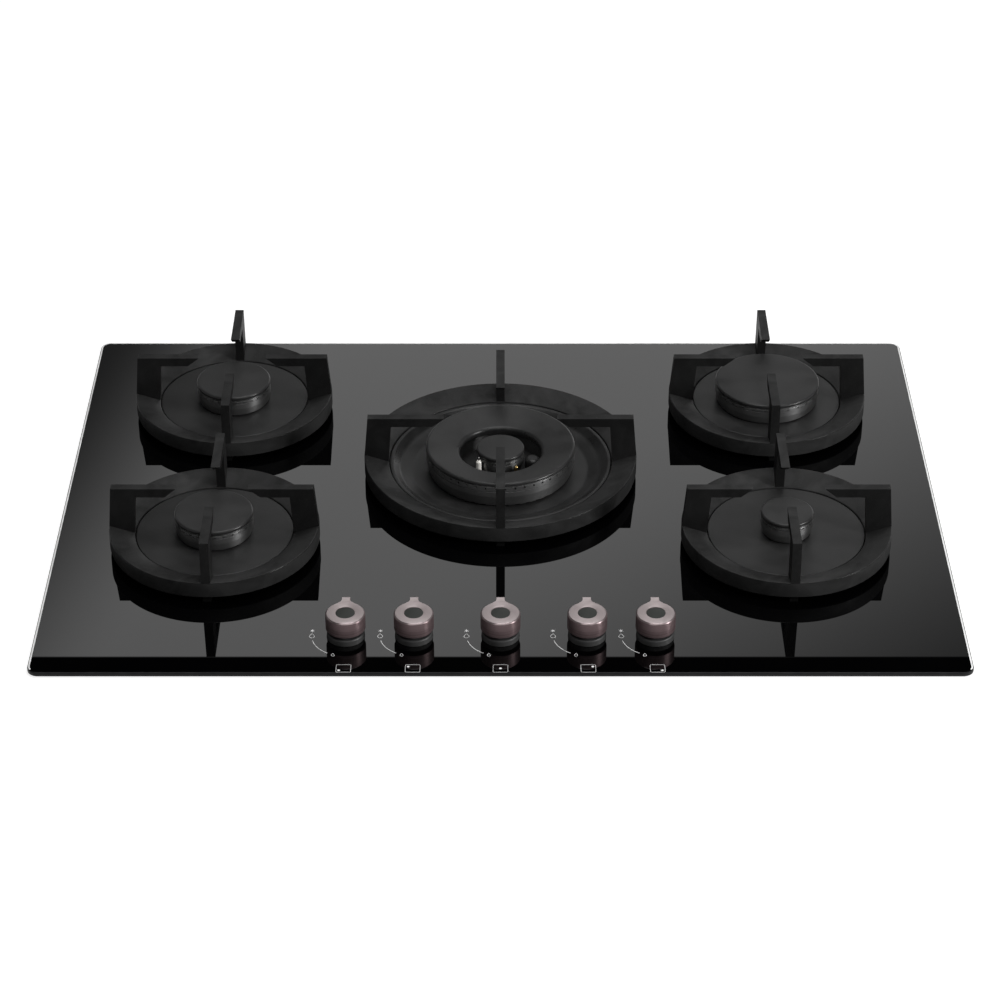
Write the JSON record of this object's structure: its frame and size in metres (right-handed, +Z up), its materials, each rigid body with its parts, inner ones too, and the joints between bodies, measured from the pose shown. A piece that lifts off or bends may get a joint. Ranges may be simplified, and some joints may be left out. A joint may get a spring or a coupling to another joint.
{
  "type": "gas cooktop",
  "caption": "Built-in gas cooktop with a black glass top, round cast pan supports, a large double-ring middle burner and a row of front knobs over a sheet-metal burner box.",
  "frame": {"origin": "centre of the worktop plane that the edge seal rests on", "axes": "+X to the right seen by the cook, +Y to the back, +Z up"},
  "size_m": [0.75, 0.52, 0.1056],
  "materials": {
    "black_glass": "polished black tempered glass with a soft bevel",
    "seal_rubber": "soft foam strip",
    "plated_sheet": "zinc-plated sheet",
    "dish_enamel": "satin black",
    "cast_alloy": "raw die casting",
    "brass": "turned",
    "burner_black": "satin black",
    "white_ceramic": "glazed ceramic",
    "bare_steel": "drawn",
    "dark_collar": "satin dark grey",
    "dark_plastic": "moulded",
    "pale_plastic": "moulded",
    "knob_metal": "brushed, with a warm dark tint",
    "cast_iron_black": "matte black enamelled casting",
    "foot_rubber": "moulded pad"
  },
  "bodies": {
    "root": {"glass_top": "black_glass", "edge_seal": "seal_rubber", "burner_box": "plated_sheet", "fixing_clamps": "plated_sheet", "spill_dishes": "dish_enamel", "burner_cups": "cast_alloy", "burner_brackets": "plated_sheet", "injectors": "brass", "burner_crowns": "burner_black", "burner_caps": "burner_black", "electrode_insulators": "white_ceramic", "electrode_pins": "bare_steel", "flame_probes": "brass", "knob_collars": "dark_collar", "tap_bodies": "cast_alloy", "ignition_switches": "dark_plastic", "gas_rail": "plated_sheet", "rail_brackets": "plated_sheet", "gas_pipes": "cast_alloy", "supply_pipe": "bare_steel", "gas_inlet": "brass", "spark_generator": "pale_plastic", "terminal_block": "pale_plastic", "cable_gland": "dark_plastic"},
    "ignition_slider_front_left": {"ignition_slider_front_left": "plated_sheet"},
    "knob_front_left": {"knob_front_left": "knob_metal"},
    "ignition_slider_rear_left": {"ignition_slider_rear_left": "plated_sheet"},
    "knob_rear_left": {"knob_rear_left": "knob_metal"},
    "ignition_slider_centre": {"ignition_slider_centre": "plated_sheet"},
    "knob_centre": {"knob_centre": "knob_metal"},
    "ignition_slider_rear_right": {"ignition_slider_rear_right": "plated_sheet"},
    "knob_rear_right": {"knob_rear_right": "knob_metal"},
    "ignition_slider_front_right": {"ignition_slider_front_right": "plated_sheet"},
    "knob_front_right": {"knob_front_right": "knob_metal"},
    "pan_support_front_left": {"pan_support_front_left": "cast_iron_black", "support_feet_front_left": "foot_rubber"},
    "pan_support_rear_left": {"pan_support_rear_left": "cast_iron_black", "support_feet_rear_left": "foot_rubber"},
    "pan_support_rear_right": {"pan_support_rear_right": "cast_iron_black", "support_feet_rear_right": "foot_rubber"},
    "pan_support_front_right": {"pan_support_front_right": "cast_iron_black", "support_feet_front_right": "foot_rubber"},
    "pan_support_centre": {"pan_support_centre": "cast_iron_black", "support_feet_centre": "foot_rubber"}
  },
  "joints": [
    {"name": "knob_press_front_left", "type": "slide", "parent": "root", "child": "ignition_slider_front_left", "axis": [0, 0, -1], "range_m": [0, 0.003], "stiffness_N_per_m": 1500, "springref_m": -0.002},
    {"name": "knob_turn_front_left", "type": "hinge", "parent": "ignition_slider_front_left", "child": "knob_front_left", "pos_m": [-0.1243, -0.2103, 0], "axis": [0, 0, 1], "range_deg": [0, 160]},
    {"name": "knob_press_rear_left", "type": "slide", "parent": "root", "child": "ignition_slider_rear_left", "axis": [0, 0, -1], "range_m": [0, 0.003], "stiffness_N_per_m": 1500, "springref_m": -0.002},
    {"name": "knob_turn_rear_left", "type": "hinge", "parent": "ignition_slider_rear_left", "child": "knob_rear_left", "pos_m": [-0.0695, -0.2103, 0], "axis": [0, 0, 1], "range_deg": [0, 160]},
    {"name": "knob_press_centre", "type": "slide", "parent": "root", "child": "ignition_slider_centre", "axis": [0, 0, -1], "range_m": [0, 0.003], "stiffness_N_per_m": 1500, "springref_m": -0.002},
    {"name": "knob_turn_centre", "type": "hinge", "parent": "ignition_slider_centre", "child": "knob_centre", "pos_m": [0, -0.2103, 0], "axis": [0, 0, 1], "range_deg": [0, 160]},
    {"name": "knob_press_rear_right", "type": "slide", "parent": "root", "child": "ignition_slider_rear_right", "axis": [0, 0, -1], "range_m": [0, 0.003], "stiffness_N_per_m": 1500, "springref_m": -0.002},
    {"name": "knob_turn_rear_right", "type": "hinge", "parent": "ignition_slider_rear_right", "child": "knob_rear_right", "pos_m": [0.0695, -0.2103, 0], "axis": [0, 0, 1], "range_deg": [0, 160]},
    {"name": "knob_press_front_right", "type": "slide", "parent": "root", "child": "ignition_slider_front_right", "axis": [0, 0, -1], "range_m": [0, 0.003], "stiffness_N_per_m": 1500, "springref_m": -0.002},
    {"name": "knob_turn_front_right", "type": "hinge", "parent": "ignition_slider_front_right", "child": "knob_front_right", "pos_m": [0.1243, -0.2103, 0], "axis": [0, 0, 1], "range_deg": [0, 160]},
    {"name": "support_lift_front_left", "type": "slide", "parent": "root", "child": "pan_support_front_left", "axis": [0, 0, 1], "range_m": [0, 0.04]},
    {"name": "support_lift_rear_left", "type": "slide", "parent": "root", "child": "pan_support_rear_left", "axis": [0, 0, 1], "range_m": [0, 0.04]},
    {"name": "support_lift_rear_right", "type": "slide", "parent": "root", "child": "pan_support_rear_right", "axis": [0, 0, 1], "range_m": [0, 0.04]},
    {"name": "support_lift_front_right", "type": "slide", "parent": "root", "child": "pan_support_front_right", "axis": [0, 0, 1], "range_m": [0, 0.04]},
    {"name": "support_lift_centre", "type": "slide", "parent": "root", "child": "pan_support_centre", "axis": [0, 0, 1], "range_m": [0, 0.04]}
  ]
}
